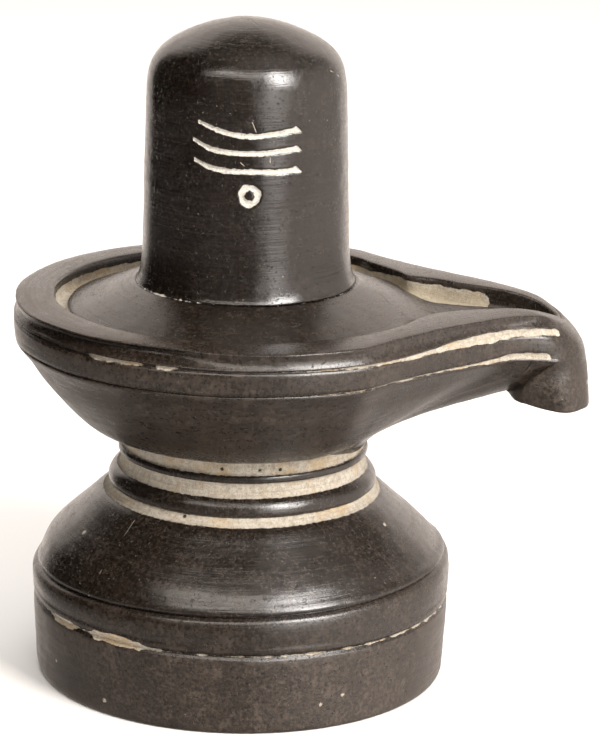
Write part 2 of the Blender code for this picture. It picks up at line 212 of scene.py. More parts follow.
# Rows down the rim's outer face: share of the way down, hollow, and bite on the left.
FACE_ROWS = (
    (0.1, 0.02, 0.6), (0.24, 0.3, 1.2), (0.42, 0.5, 1.45), (0.6, 0.55, 1.3), (0.78, 0.4, 0.8),
    (0.92, 0.12, 0.2),
)
FACE_START = (8, 20)
FACE_WEAR = 0.45
# The bitten stretch on the left, in degrees to the left of the spout, and what it changes.
LEFT_START = (95, 112)
LEFT_END = (140, 158)
LEFT_CUT_HALF = 0.22
LEFT_CUT_DEPTH = 0.3
# The face there is less worn, so it is painted darker: a finer polish, and painted shade for the dark
# hollow under the rim's top.
LEFT_POLISH_AND_SHADE = 0.2
# The tip of the spout, where the face stands out.
TIP_END = (6, 16)
TIP_LOW_PUSH = 0.4
TIP_FACE_BULGE = 0.35

# Half height of the two cuts outside the rim, against the step.
UPPER_HALF = [
    (0, 0.8), (12, 0.85), (22, 0.9), (27, 1.1), (31, 1.3), (38, 0.95), (44, 0.6), (52, 0.4), (60, 0.3),
    (180, 0.22),
]
LOWER_HALF = [(0, 0.9), (14, 1.0), (20, 1.1), (26, 0.95), (30, 0.55), (36, 0.3), (60, 0.2), (180, 0.16)]
# How much raw stone the two cuts show, against the azimuth in degrees: 1 is raw, 0 is dark.
UPPER_RAW = [
    (-180, 0.0), (-131, 0.0), (-129, 0.9), (-115, 0.9), (-112, 0.0), (-110, 0.8), (-105, 0.8),
    (-103, 0.1), (-92, 0.3), (-84, 0.5), (-70, 0.8), (-58, 1.0), (-12.8, 1.0), (-11, 0.0), (10, 0.0),
    (12, 0.9), (58, 0.8), (75, 0.2), (180, 0.0),
]
LOWER_RAW = [
    (-180, 0.0), (-78, 0.0), (-72, 0.7), (-60, 0.9), (-17.5, 1.0), (-15.5, 0.0), (13, 0.0), (15, 0.9),
    (55, 0.7), (70, 0.0), (180, 0.0),
]
# A cut's rows: how far from its centre line as a share of its half height, and share of its
# depth. The outermost rows lie past its half height.
RIDGE = 1.15
CUT_SECTION = (
    (RIDGE, 0.0), (0.85, 0.6), (0.5, 1.0), (0.0, 1.0), (-0.5, 1.0), (-0.85, 0.8), (-RIDGE, 0.0),
)
CUT_DEPTH = 0.5
CUT_RAGGED = 0.3
CUT_NOISE = (26, 61.0)
CUT_WEAR = 0.5
UPPER_CUT_START = (10, 14)
LOWER_CUT_START = (14, 19)
UPPER_CUT_CLOSE = 1.0
LOWER_CUT_CLOSE = 0.6
# A row by a cut goes at most this share of the way to the next line.
NEARLY_HALF = 0.45
# The face between the two cuts, and the lip under the lower one.
BETWEEN_SHARES = (0.15, 0.32, 0.5, 0.68, 0.85)
BETWEEN_BULGE = 0.1
BETWEEN_TIP_BULGE = 0.5
BETWEEN_WEAR = 0.55
UNDER_DROP = 0.95
UNDER_INSET = 0.55
UNDER_CUT = -0.3
UNDER_WEAR = 0.6

# The beak: rows from the tip round to the edge where its side turns to its back.
BEAK_WAIST = [(77.5, 0.0, 70.3), (76.4, 6.4, 70.3), (71.2, 11.8, 70.5), (63.4, 10.9, 70.9)]
BEAK_FRONT = [(78.0, 0.0, 63.6), (76.9, 6.2, 63.7), (71.4, 11.2, 64.1), (61.8, 8.9, 65.7)]
BEAK_REAR = [(59.4, 0.0, 65.8), (59.6, 3.2, 65.8), (60.3, 6.2, 65.7), (61.8, 8.9, 65.7)]
BEAK_BACK = [(59.3, 0.0, 66.0), (59.5, 3.4, 66.6), (60.7, 7.0, 68.2), (63.4, 10.9, 70.9)]
BEAK_ROOT = [(59.1, 0.0, 66.2), (59.8, 3.9, 67.3), (62.2, 8.6, 70.5)]
BEAK_BENDS = 10
BEAK_WEAR = 0.8
BEAK_ROOT_CUT = -1.0
BEAK_ROOT_WEAR = 0.7
# The rounded edge of its underside: its size, the most it takes of the width, and how far its
# middle row is from the corner.
BEAK_FILLET = 0.8
BEAK_FILLET_SHARE = 0.3
BEAK_FILLET_MIDDLE = 0.3
# The underside: its rows, its hollow, and the widths over which the hollow grows. Where the
# rounding is narrower than the last value, the rows meet.
BEAK_UNDER_ROWS = (0.04, 0.96, 8)
BEAK_HOLLOW = 0.25
BEAK_HOLLOW_WIDTHS = (2, 12)
BEAK_ROWS_MEET = 0.02
# The rows over the beak's shoulder whose turns are rounded, how much and how often.
SHOULDER_ROWS = 30
SHOULDER_SHARE = 0.5
SHOULDER_PASSES = 12
SHOULDER_END = (11, 14.5)

# Underside of the bowl: its rise against the share of the way out, and runs of rows.
BOWL_CURVE = [(0.0, 0.0), (0.14, 0.01), (0.3, 0.09), (0.45, 0.22), (0.6, 0.4), (0.78, 0.65),
              (0.9, 0.86), (1.0, 1.0)]
BOWL_RUNS = ((0.985, 0.86, 5), (0.81, 0.16, 16), (0.12, 0.0, 5))
BOWL_FOOT = (27.7, 56.8)
KEEL_FOOT_DROP = 2.9
KEEL_BOW = 0.72
# Wear of the underside at its foot, how much it grows out to the edge, and the shares over which it grows.
# It is low at the foot, so the underside is painted darker towards the neck: a finer polish, and painted
# shade under the bowl.
BOWL_FOOT_WEAR_AND_SHADE = 0.2
BOWL_EDGE_WEAR_AND_SHADE = 0.4
BOWL_WEAR_AND_SHADE_SHARES = (0.15, 0.6)

# Ringed neck, bell, band and drum: radius and height from the neck down.
NECK_PROFILE = [
    (27.45, 54.6), (27.4, 53.9), (27.6, 53.25), (28.1, 53.05), (28.25, 52.6), (28.25, 51.9),
    (28.1, 51.55), (27.5, 51.35), (27.55, 50.4), (27.8, 49.3), (28.1, 48.4), (28.5, 48.05),
    (28.9, 47.85), (29.5, 47.3), (30.0, 46.6), (30.3, 45.8), (30.35, 45.0), (30.25, 44.5),
    (30.0, 44.25), (29.9, 44.0), (30.3, 43.4), (30.9, 42.8), (31.4, 42.35), (32.0, 42.1),
    (32.5, 41.8),
]
BELL_PROFILE = [
    (32.5, 41.8), (33.6, 40.9), (35.4, 39.2), (37.6, 37.2), (39.9, 35.2), (42.1, 33.1), (43.9, 31.2),
    (45.3, 29.2), (46.2, 27.9), (46.5, 27.2),
]
BAND_PROFILE = [
    (45.7, 26.95), (45.9, 26.65), (46.9, 26.4), (47.4, 25.7), (47.65, 24.4), (47.65, 22.4),
    (47.55, 21.0), (47.4, 20.35), (47.5, 20.1), (47.45, 19.3), (47.3, 18.75), (46.8, 18.5),
    (46.6, 18.15), (46.75, 17.8), (47.2, 17.5),
]
DRUM_PROFILE = [
    (47.2, 17.5), (47.35, 17.0), (47.2, 12.0), (46.9, 7.0), (46.7, 2.5), (46.5, 0.8), (46.2, 0.25),
]
DRUM_HEIGHTS = (17.2, 16.4, 15.0, 13.5, 12.0, 10.4, 8.8, 7.2, 5.6, 4.2, 3.0, 1.9, 1.1, 0.6, 0.25)
FOOT_EDGE = (45.95, 0.06)
FOOT_RADII = (45.6, 38.0, 28.0, 18.0, 8.0)
NECK_WEAR = 0.25
BELL_WEAR = 0.25
BAND_WEAR = 0.4
DRUM_WEAR = 0.8
# The wear of the single points at the crown and under the drum.
END_WEAR = 0.2

# Raw bands on the neck: lower and upper height. The first rows lie between the bowl's foot and
# the neck, and each row stays this far below the one before.
RAW_RINGS = [(53.15, 57.2), (48.1, 51.45), (42.3, 44.2)]
NECK_START = (0.15, 0.5)
NECK_START_CUT = 0.1
NECK_START_CUT_RISE = 0.8
NECK_ROW_GAP = 0.2
BELL_ROWS = 20
BELL_CUT = -1.5

# The crease under the bell: how far it is shifted up, against the azimuth in degrees, and the
# heights over which the bell above and the band below follow it.
CREASE_SHIFT = [
    (-180, -1.6), (-150, -1.2), (-120, -0.4), (-90, 0.0), (-60, 0.7), (-30, 1.4), (0, 1.6), (60, 0.6),
    (120, -0.8), (180, -1.6),
]
CREASE_ON_BELL = (31, 27)
CREASE_ON_BAND = (23, 26.5)

# The groove above the drum: its height, and the half height of its chipped stone against the
# azimuth in degrees. A large chip lifts it on the left.
BASE_GROOVE = 18.15
BASE_RAW = [
    (-180, 0.1), (-154, 0.15), (-150, 0.7), (-141, 0.8), (-138, 0.2), (-134, 0.3), (-131, 1.1),
    (-117, 1.0), (-112, 0.15), (-90, 0.1), (-60, 0.2), (-15, 0.3), (0, 0.1), (180, 0.1),
]
BASE_RAW_MOST = 1.0
BASE_LIFT = 0.5
BASE_LIFT_AZIMUTH = -124
BASE_LIFT_SPREAD = 9
BASE_RAGGED = 0.5
BASE_NOISE = (22, 41.0)

# The unevenness of hand work: how fine it is and how far it moves a point. It grows from
# nothing at the flat underside to its full size at this height.
CARVED_WAVES = ((0.07, 0.16), (0.35, 0.05))
CARVED_FOOT = 3.0

# Scratches and cracks, from point to point, then pale chips and dark pits, which end with
# their radius.
SCRATCHES = [
    ((1.3, -22.1, 130.9), (2.2, -22.1, 128.7)), ((5.3, -21.7, 123.4), (5.3, -21.7, 122.1)),
    ((-1.1, -22.4, 122.1), (-0.2, -22.5, 121.3)), ((17.9, -10.3, 140.2), (19.7, -7.6, 138.5)),
    ((-23.3, -23.9, 41.1), (-30.3, -31.4, 31.5)), ((-30.3, -31.4, 31.5), (-32.8, -33.0, 26.4)),
    ((-0.6, -46.7, 70.7), (1.9, -43.0, 66.0)), ((63.8, -11.5, 73.4), (66.0, -11.6, 71.9)),
]
CRACKS = [
    ((-0.2, -0.8, 149.6), (1.6, -5.2, 149.1)), ((30.2, -3.5, 88.6), (32.4, -7.7, 87.4)),
    ((34.6, -10.3, 86.3), (39.4, -15.0, 84.8)), ((63.6, -13.0, 76.2), (61.3, -10.8, 70.9)),
]
PALE_CHIPS = [
    (-34.8, -17.5, 35.9, 0.6), (32.2, -15.9, 38.7, 0.5), (-29.0, -36.8, 3.5, 0.5), (-40.6, -23.6, 7.6, 0.4),
    (18.6, -43.0, 6.1, 0.4), (23.4, -40.7, 7.6, 0.4), (76.6, -4.6, 69.6, 0.7),
    (-28.9, -42.0, 85.5, 0.5), (-7.4, -50.4, 85.2, 0.5),
]
DARK_PITS = [
    (-4.0, -27.2, 54.5, 0.4), (4.3, -27.1, 54.4, 0.4), (8.7, -26.0, 54.3, 0.4), (-12.1, -27.7, 43.6, 0.4),
    (-9.6, -43.8, 29.8, 0.4), (3.4, -44.4, 30.3, 0.4), (6.0, -43.9, 30.7, 0.4), (14.6, -42.5, 29.9, 0.4),
    (-34.0, -3.2, 87.1, 0.5), (-31.8, -10.7, 87.3, 0.5),
]
SCRATCH_WIDTH = 0.11
CRACK_WIDTH = 0.22
SPOT_EDGE = (-0.05, 0.1)
SPOT_RAGGED = 1.2

# Textures of the stone: how fine, how many layers and how rough.
COARSE = (0.9, 4.0, 0.6)
FINE = (3.6, 3.0, 0.6)
GRAIN = (3.4, 3.0, 0.7)
MOTTLE = (1.2, 6.0, 0.75)
PATCHES = (0.09, 4.0, 0.55)
CLOUDS = (0.3, 5.0, 0.65)
OCHRE = (0.16, 4.0, 0.6)
PITS = (1.5, 2.0, 0.5)
FLECKS = (2.1, 2.0, 0.5)
FLECK_ZONES = (0.12, 3.0, 0.6)
# Fine lines round the stone: how fine along and across them, layers and roughness.
SANDED = (0.05, 3.2, 3.0, 0.6)
SCORED = (0.06, 1.3, 2.0, 0.5)

# The dark skin: where polished and where worn dull, each from its darkest to its lightest.
POLISHED = (0.36, 0.66, (0.002, 0.0013, 0.0009), (0.01, 0.007, 0.0052))
DULL = (0.34, 0.66, (0.013, 0.0085, 0.0054), (0.066, 0.046, 0.032))
# Tints: where on the texture they start and are full, their strength and their colour.
PATCH_TINT = (0.62, 0.38, 0.35, (0.004, 0.0026, 0.0018))
SANDED_TINT = (0.56, 0.74, 0.3, (0.05, 0.038, 0.03))
RAW_OCHRE_TINT = (0.48, 0.66, 0.7, (0.38, 0.275, 0.15))
RAW_WORN_TINT = (0.6, 0.78, 0.55, (0.3, 0.25, 0.16))
RAW_CHALK_TINT = (0.22, 0.12, 0.8, (0.58, 0.565, 0.52))
RAW_SANDED_TINT = (0.5, 0.64, 0.35, (0.2, 0.165, 0.12))
RAW_GRAIN_TINT = (0.48, 0.36, 0.6, (0.16, 0.13, 0.095))
# Specks and haze are stronger where the stone is worn: the range, the two strengths, the colour.
SPECK_RANGE = (0.62, 0.76)
SPECK_STRENGTH = (0.2, 0.5)
SPECK_COLOUR = (0.09, 0.07, 0.055)
HAZE_RANGE = (0.5, 0.7)
HAZE_STRENGTH = (0.03, 0.35)
HAZE_COLOUR = (0.12, 0.09, 0.068)
FLECK_RANGE = (0.7, 0.76)
FLECK_ZONE_RANGE = (0.5, 0.66)
FLECK_STRENGTH = 0.6
FLECK_COLOUR = (0.4, 0.35, 0.28)
CHIP_STRENGTH = 0.8
CHIP_COLOUR = (0.42, 0.37, 0.3)
PIT_RANGE = (0.36, 0.29)
PIT_STRENGTH = 0.8
PIT_COLOUR = (0.003, 0.002, 0.0014)
HOLE_COLOUR = (0.004, 0.003, 0.002)
# Raw stone from its darkest to its lightest, and the ragged edge of a cut.
RAW = (0.3, 0.66, (0.31, 0.27, 0.215), (0.46, 0.42, 0.35))
RAW_EDGE = (-0.03, 0.09)
COARSE_EDGE = 0.35
FINE_EDGE = 0.3

# How strongly the waxed polish mirrors its surroundings, and how rough it is: polished and
# worn, the least it gets, and raw stone. Mottle, scores, clouds and patches vary it this much.
POLISH_LEVEL = 0.75
POLISH_ROUGHNESS = (0.14, 0.46)
LEAST_ROUGHNESS = 0.07
RAW_ROUGHNESS = 0.9
ROUGHNESS_VARIES = (0.4, 0.25, 0.25, 0.15)

# Heights of the fine relief, in millimetres.
SANDED_RELIEF = 0.036
SCORED_RELIEF = 0.034
GRAIN_RELIEF = (0.028, 0.06)
PIT_RELIEF = 0.1
HOLE_RELIEF = 0.15
COARSE_RELIEF = 0.16
FINE_RELIEF = 0.12
RAW_SINK = 0.22

FLOOR_HALF = 6.0
FLOOR_COLOUR = (0.86, 0.86, 0.85)
FLOOR_ROUGHNESS = 0.9

# Lamps: turn from the camera's side towards +X and rise, both in degrees, distance, width and
# height, power, colour, and whether the polish mirrors the lamp.
LAMP_TARGET = (0.0, 0.0, 0.09)
LAMPS = {
    "key": (42, 34, 1.3, (0.48, 0.68), 25.0, (1.0, 0.96, 0.93), True),
    "strip": (31, 2, 1.3, (0.5, 0.55), 3.0, (1.0, 0.96, 0.93), True),
    "fill": (-16, 50, 1.3, (1.2, 0.26), 7.0, (1.0, 0.92, 0.84), True),
    "wash": (180, 65, 1.1, (1.2, 1.2), 10.0, (1.0, 1.0, 1.0), False),
}

# Brightness of the surroundings: the screen behind, the pale side on the right, the table
# below, the front of the room, the ceiling and the dark room under it.
SCREEN_LIGHT = 1.3
SIDE_LIGHT = 1.4
TABLE_LIGHT = 0.5
FRONT_LIGHT = 0.22
CEILING_LIGHT = 0.25
ROOM_LIGHT = 0.015
ROOM_TINT = (1.0, 0.885, 0.8)
# Each surface is a product of smooth steps over the direction looked in: the way it is
# measured, where the step starts and ends, and what it is before and after.
SURROUNDINGS = (
    (
        ("behind", 0.7, 0.84, 0.0, SCREEN_LIGHT), ("above", 0.68, 0.78, 1.0, 0.0),
        ("above", -0.5, -0.2, 0.3, 1.0),
    ),
    (
        ("right", 0.2, 0.85, 0.0, SIDE_LIGHT), ("above", 0.15, 0.75, 1.0, 0.45),
        ("behind", -0.1, 0.6, 1.0, 0.65), ("above", -0.9, -0.5, 0.4, 1.0),
    ),
    (
        ("above", -0.34, -0.2, TABLE_LIGHT, 0.0), ("right", 0.2, 0.85, 1.0, 0.0),
        ("above", -0.9, -0.6, 0.4, 1.0),
    ),
    (("behind", -0.95, -0.5, FRONT_LIGHT, 0.0), ("above", -0.3, -0.1, 0.0, 1.0)),
    (("above", 0.82, 0.94, ROOM_LIGHT, CEILING_LIGHT),),
)

CAMERA_DISTANCE = 0.750
CAMERA_ELEVATION = math.radians(15.925)
CAMERA_TARGET = (0.012625, 0.0, 0.068765)
CAMERA_ROLL = math.radians(1.181)
CAMERA_LENS = 159.95
CAMERA_SENSOR = 36.0
CAMERA_CLIP = (0.01, 50.0)


def cubic(a, b, c, d, t):
    """From a to b as t goes from 0 to 1, with the slope c at the start and d at the end."""
    return (((2 * a - 2 * b + c + d) * t + (3 * b - 3 * a - 2 * c - d)) * t + c) * t + a


def hermite(knots, values, at):
    """Smooth curve through values at knots, with each slope taken from the neighbours."""
    knots = np.asarray(knots, float)
    values = np.asarray(values, float)
    at = np.clip(np.asarray(at, float), knots[0], knots[-1])
    slopes = np.empty_like(values)
    slopes[1:-1] = (values[2:] - values[:-2]) / (knots[2:] - knots[:-2])
    slopes[0] = (values[1] - values[0]) / (knots[1] - knots[0])
    slopes[-1] = (values[-1] - values[-2]) / (knots[-1] - knots[-2])
    i = np.clip(np.searchsorted(knots, at, side="right") - 1, 0, len(knots) - 2)
    span = knots[i + 1] - knots[i]
    return cubic(values[i], values[i + 1], slopes[i] * span, slopes[i + 1] * span, (at - knots[i]) / span)


def smooth(value, start, end):
    """A smooth step from 0 at the start to 1 at the end."""
    share = np.clip((np.asarray(value, float) - start) / (end - start), 0.0, 1.0)
    return share * share * (3 - 2 * share)


def spread(runs):
    """The values of the runs, without the last one."""
    return np.concatenate([np.linspace(a, b, count, endpoint=False) for a, b, count in runs])


FAR = spread(FAR_RUNS)
NEAR = spread(NEAR_RUNS)
STEP = np.concatenate([FAR, NEAR])
SIDE = np.concatenate([np.ones(len(FAR)), -np.ones(len(NEAR))])
AZIMUTH = np.radians(STEP * SIDE)
DEGREES = np.degrees(AZIMUTH)
COUNT = len(STEP)
ROUND = np.stack([np.cos(AZIMUTH), np.sin(AZIMUTH), np.zeros(COUNT)], 1)
UP = np.array([0.0, 0.0, 1.0])

# How far each column is under the spout, and the height of the bowl's foot there.
UNDER_SPOUT = 1 - smooth(STEP, BEAK_SIDE, PLAN_JOIN)
BOWL_FOOT_HEIGHT = BOWL_FOOT[1] - KEEL_FOOT_DROP * UNDER_SPOUT

ROWS = []


def wobble(azimuths, size, seed):
    """A gentle unevenness round the stone, the same at both ends of the turn."""
    return np.array([
        noise.noise(Vector((math.cos(a) * size, math.sin(a) * size, seed))) for a in azimuths
    ])


def table(pairs, at):
    """The value of a short table there."""
    return hermite([a for a, _ in pairs], [b for _, b in pairs], at)


def radius_at(profile, height):
    """The radius of a profile at this height."""
    return float(table(sorted((h, r) for r, h in profile), height))


def about(azimuth, width):
    """1 at this azimuth, falling off on both sides."""
    return np.exp(-((DEGREES - azimuth) / width) ** 2)


def fading(inside, share):
    """A cut that fades out to dark stone as the share falls from 1 to 0."""
    return inside * share - FADED_CUT * (1 - share)


def mirrored_curve(knots, points, step):
    """A smooth curve through the points that meets its own mirror image at the spout's middle."""
    folded = np.concatenate([points[:0:-1] * (1, -1, 1), points])
    turned = np.concatenate([-knots[:0:-1], knots])
    return np.stack([hermite(turned, folded[:, k], step) for k in range(3)], -1)


def plan(curve, step=STEP, side=SIDE):
    """Points of a plan curve at each column."""
    last = curve["points"][-1]
    start = math.atan2(last[1], last[0])
    radius = curve["radius"]

    def arc(at):
        share = (np.asarray(at, float) - PLAN_JOIN) / (HALF_TURN - PLAN_JOIN)
        turn = start + share * (math.pi - start)
        height = np.full(np.shape(turn), curve["height"])
        return np.stack([radius * np.cos(turn), radius * np.sin(turn), height], -1)

    knots = np.array(PLAN_STEPS + PLAN_ARC_STEPS, float)
    points = np.concatenate([np.array(curve["points"], float), arc(PLAN_ARC_STEPS)])
    by_spout = (step <= PLAN_ARC_STEPS[-2])[:, None]
    found = np.where(by_spout, mirrored_curve(knots, points, step), arc(step))
    return found * np.stack([np.ones_like(step), side, np.ones_like(step)], -1)


def beak_row(row, last=None):
    """Points of a beak row, for the columns of the beak alone."""
    points = np.array(row, float)
    knots = np.array(PLAN_STEPS[:len(points)], float)
    if last is not None:
        points = np.concatenate([points, [last]])
        knots = np.append(knots, BEAK_SIDE)
    found = mirrored_curve(knots, points, np.minimum(STEP, BEAK_SIDE))
    found[:, 1] *= SIDE
    return found


def outward(curve):
    """The level direction out of the stone, at each column of a plan curve."""
    ahead = plan(curve, np.minimum(STEP + STEP_APART, HALF_TURN), np.ones(COUNT))
    behind = plan(curve, np.maximum(STEP - STEP_APART, 0.0), np.ones(COUNT))
    run = ahead - behind
    run[STEP <= STEP_APART] = (0.0, 1.0, 0.0)
    out = np.stack([run[:, 1], -run[:, 0] * SIDE, np.zeros(COUNT)], 1)
    return out / np.linalg.norm(out, axis=1, keepdims=True)


def add(points, cut, wear_and_painted_light, kind="round"):
    """Adds a row: its points, how far inside a raw cut it is, and how dull its polish is. On the rim's left
    side and under the bowl, the dullness also holds painted light and shade.
    """
    ROWS.append({
        "points": np.array(points, float),
        "cut": np.broadcast_to(np.asarray(cut, float), (COUNT,)).copy(),
        "wear_and_painted_light": np.broadcast_to(np.asarray(wear_and_painted_light, float), (COUNT,)).copy(),
        "kind": kind,
    })


def ring(radius, height):
    radius = np.broadcast_to(radius, (COUNT,))
    height = np.broadcast_to(height, (COUNT,))
    return ROUND * radius[:, None] + UP * height[:, None]


def leaned(points):
    """Points of the shaft, leaned over about its foot."""
    turn = np.array(Matrix.Rotation(SHAFT_LEAN, 3, "Y"))
    return (points - UP * SHAFT_FOOT) @ turn.T + UP * SHAFT_FOOT


def stroke_distance(height, radius):
    """How far inside an engraved mark each column of a shaft row is, in millimetres."""
    found = np.full(COUNT, NO_CUT)
    drift, drift_turns = STROKE_DRIFT
    ragged, ragged_turns = STROKE_RAGGED
    thinner, thin_reach = STROKE_LEFT
    thicker, thick_reach = STROKE_RIGHT
    for k, marks in enumerate(STROKES):
        left = marks[0][0]
        right = marks[-1][0]
        line = table(marks, DEGREES) + drift * wobble(AZIMUTH * drift_turns, STROKE_NOISE, k + 3.0)
        half = STROKE_HALF + ragged * wobble(AZIMUTH * ragged_turns, STROKE_NOISE, k + 9.0)
        half = half * (1 - thinner + thinner * smooth(DEGREES, left, left + thin_reach))
        half = half * (1.0 + thicker * smooth(DEGREES, right - thick_reach, right))
        slant = np.degrees((height - line) / radius)
        ends = np.minimum(DEGREES - left, right - slant - DEGREES) * math.radians(radius)
        found = np.maximum(found, np.minimum(half - np.abs(height - line), ends))
    across = (DEGREES - DOT_AZIMUTH) * math.radians(radius)
    rise = (height - DOT_HEIGHT) * DOT_SQUASH
    turn = np.arctan2(rise, across)
    uneven = sum(size * np.sin(waves * turn + start) for size, waves, start in DOT_WAVES)
    return np.maximum(found, DOT_HALF + uneven - np.abs(np.hypot(across, rise) - DOT_RADIUS))


def foot_lip():
    """The chipped line where the shaft meets the floor. It is above zero where chipped."""
    share = LIP_SHARE + LIP_LEFT_SHARE * about(LIP_AZIMUTH, LIP_SPREAD)
    return LIP_SIZE * (wobble(AZIMUTH, *LIP_NOISE) + (share - 0.5) * LIP_NOISE_RANGE)


def shaft():
    for height in np.append(spread(SHAFT_ROWS), SHAFT_ROWS[-1][1]):
        radius = radius_at(SHAFT_PROFILE, height)
        if height > CAP_HEIGHT:
            radius = CAP_RADIUS * math.sqrt((SHAFT_TOP - height) / (SHAFT_TOP - CAP_HEIGHT))
        inside = stroke_distance(height, radius)
        depth = STROKE_DEPTH * smooth(inside, *STROKE_WALL)
        lip = foot_lip() + NO_CUT * float(smooth(height, *LIP_ON_SHAFT))
        add(leaned(ring(radius - depth, height)), np.maximum(inside, lip), SHAFT_WEAR)


def floor_rows():
    """The mound up to the shaft, then the raw trough beside the rim."""
    edge = plan(FLOOR_EDGE)
    rim = np.where((SIDE < 0)[:, None], plan(RIM_INNER_NEAR), plan(RIM_INNER_FAR))
    start = ring(*MOUND_TOP)
    for share in MOUND_SHARES:
        point = start + (edge - start) * share
        reach = np.hypot(point[:, 0], point[:, 1])
        cone = MOUND_HEIGHT - MOUND_SLOPE * (reach - MOUND_RADIUS)
        gap = cone - edge[:, 2]
        point[:, 2] = edge[:, 2] + 0.5 * (gap + np.sqrt(gap * gap + MOUND_ROUNDING))
        lip = foot_lip() + NO_CUT * float(smooth(share, *LIP_ON_MOUND))
        cut = np.maximum(NO_CUT + MOUND_EDGE_CUT * smooth(share, *MOUND_EDGE), lip)
        add(point, cut, MOUND_WEAR if share > MOUND_TOP_SHARE else MOUND_TOP_WEAR)
    bottom = np.minimum(edge[:, 2] - TROUGH_DEPTH, rim[:, 2] - TROUGH_BELOW_RIM)
    pale = smooth(STEP, *TROUGH_END)
    wear_and_painted_light = TROUGH_WEAR + TROUGH_SPOUT_WEAR * (1 - smooth(STEP, *SPOUT_END))
    add(edge, TROUGH_EDGE_CUT - FADED_CUT * (1 - pale), wear_and_painted_light)
    for share, sink, cut in TROUGH_FLOOR:
        point = edge + (rim - edge) * share
        point[:, 2] = edge[:, 2] + (bottom - edge[:, 2]) * sink
        add(point, fading(cut, pale), wear_and_painted_light)
    spout = (1 - smooth(STEP, *SPOUT_END)) * pale
    ragged = TROUGH_RAGGED * wobble(AZIMUTH, *TROUGH_NOISE)
    for up, inset, by_spout, by_dish, duller in TROUGH_WALL:
        point = rim + (edge - rim) * inset
        point[:, 2] = bottom + (rim[:, 2] - bottom) * up
        inside = by_dish + (by_spout - by_dish) * spout + ragged
        add(point, fading(inside, pale), TROUGH_WALL_WEAR + duller * spout)
    return rim


def rim_rows(rim):
    """The top of the rim, then its outer face with the two cuts, down to the lip under it."""
    top = plan(RIM_TOP)
    middle = plan(RIM_MIDDLE)
    low = plan(RIM_LOW)
    out = outward(RIM_MIDDLE)
    tip = 1 - smooth(STEP, *TIP_END)
    low = low + out * (TIP_LOW_PUSH * tip)[:, None]
    # Lighter on the left: dust and a painted reflection.
    wear_and_painted_light = RIM_WEAR + RIM_LEFT_DUST_AND_SHEEN * smooth(-DEGREES, *RIM_LEFT_DUST_AND_SHEEN_START)
    ground = np.maximum(table(RIM_GROUND, DEGREES), 0.0)
    top = top - out * ground[:, None] - UP * (RIM_GROUND_SINK * ground)[:, None]
    for share, lift in RIM_CROWN:
        add(rim + (top - rim) * share + UP * lift, NO_CUT, wear_and_painted_light)
    add(top - UP * RIM_EDGE_DROP, NO_CUT, wear_and_painted_light)
    fade = smooth(STEP, *FACE_START)
    left = smooth(-DEGREES, *LEFT_START) * (1 - smooth(-DEGREES, *LEFT_END))
    half = table(UPPER_HALF, STEP) + LEFT_CUT_HALF * left
    upper = along(middle, top, RIDGE * half)
    for share, hollow, bite in FACE_ROWS:
        side = top + (upper - top) * share
        push = hollow * fade + bite * left - TIP_FACE_BULGE * tip * math.sin(math.pi * share)
        # On the left the face is painted darker: polish and painted shade.
        add(side - out * push[:, None], NO_CUT, FACE_WEAR - LEFT_POLISH_AND_SHADE * left)
    depth = CUT_DEPTH * smooth(STEP, *UPPER_CUT_START) + LEFT_CUT_DEPTH * left
    cut_rows(top, middle, low, half, out, depth, table(UPPER_RAW, DEGREES), UPPER_CUT_CLOSE)
    lower_half = table(LOWER_HALF, STEP)
    lower = along(low, middle, RIDGE * lower_half)
    start = along(middle, low, RIDGE * half)
    for share in BETWEEN_SHARES:
        side = start + (lower - start) * share
        bulge = (BETWEEN_BULGE + BETWEEN_TIP_BULGE * tip) * math.sin(math.pi * share)
        add(side + out * bulge[:, None], NO_CUT, BETWEEN_WEAR)
    cut = smooth(STEP, *LOWER_CUT_START)
    under = low - UP * UNDER_DROP - out * (UNDER_INSET * cut)[:, None]
    raw = table(LOWER_RAW, DEGREES)
    cut_rows(middle, low, under, lower_half, out, CUT_DEPTH * cut, raw, LOWER_CUT_CLOSE)
    add(under, UNDER_CUT, UNDER_WEAR)
    return under


def along(start, end, reach):
    """The point this far from start towards end, but never past the middle."""
    run = end - start
    share = np.minimum(reach / np.linalg.norm(run, axis=1), NEARLY_HALF)
    return start + run * share[:, None]


def cut_rows(above, centre, below, half, out, depth, raw, close):
    """Rows of a cut round a centre line. The share close is the depth of its lower wall."""
    fineness, seed = CUT_NOISE
    for offset, sink in CUT_SECTION:
        line = along(centre, above if offset > 0 else below, abs(offset) * half)
        if offset < 0:
            sink = sink * close
        inside = half * (1 - abs(offset)) + CUT_RAGGED * wobble(AZIMUTH, fineness, seed + offset)
        add(line - out * (depth * sink)[:, None], fading(inside, raw), CUT_WEAR)


def unit(v):
    return v / np.maximum(np.linalg.norm(v, axis=1, keepdims=True), 1e-9)


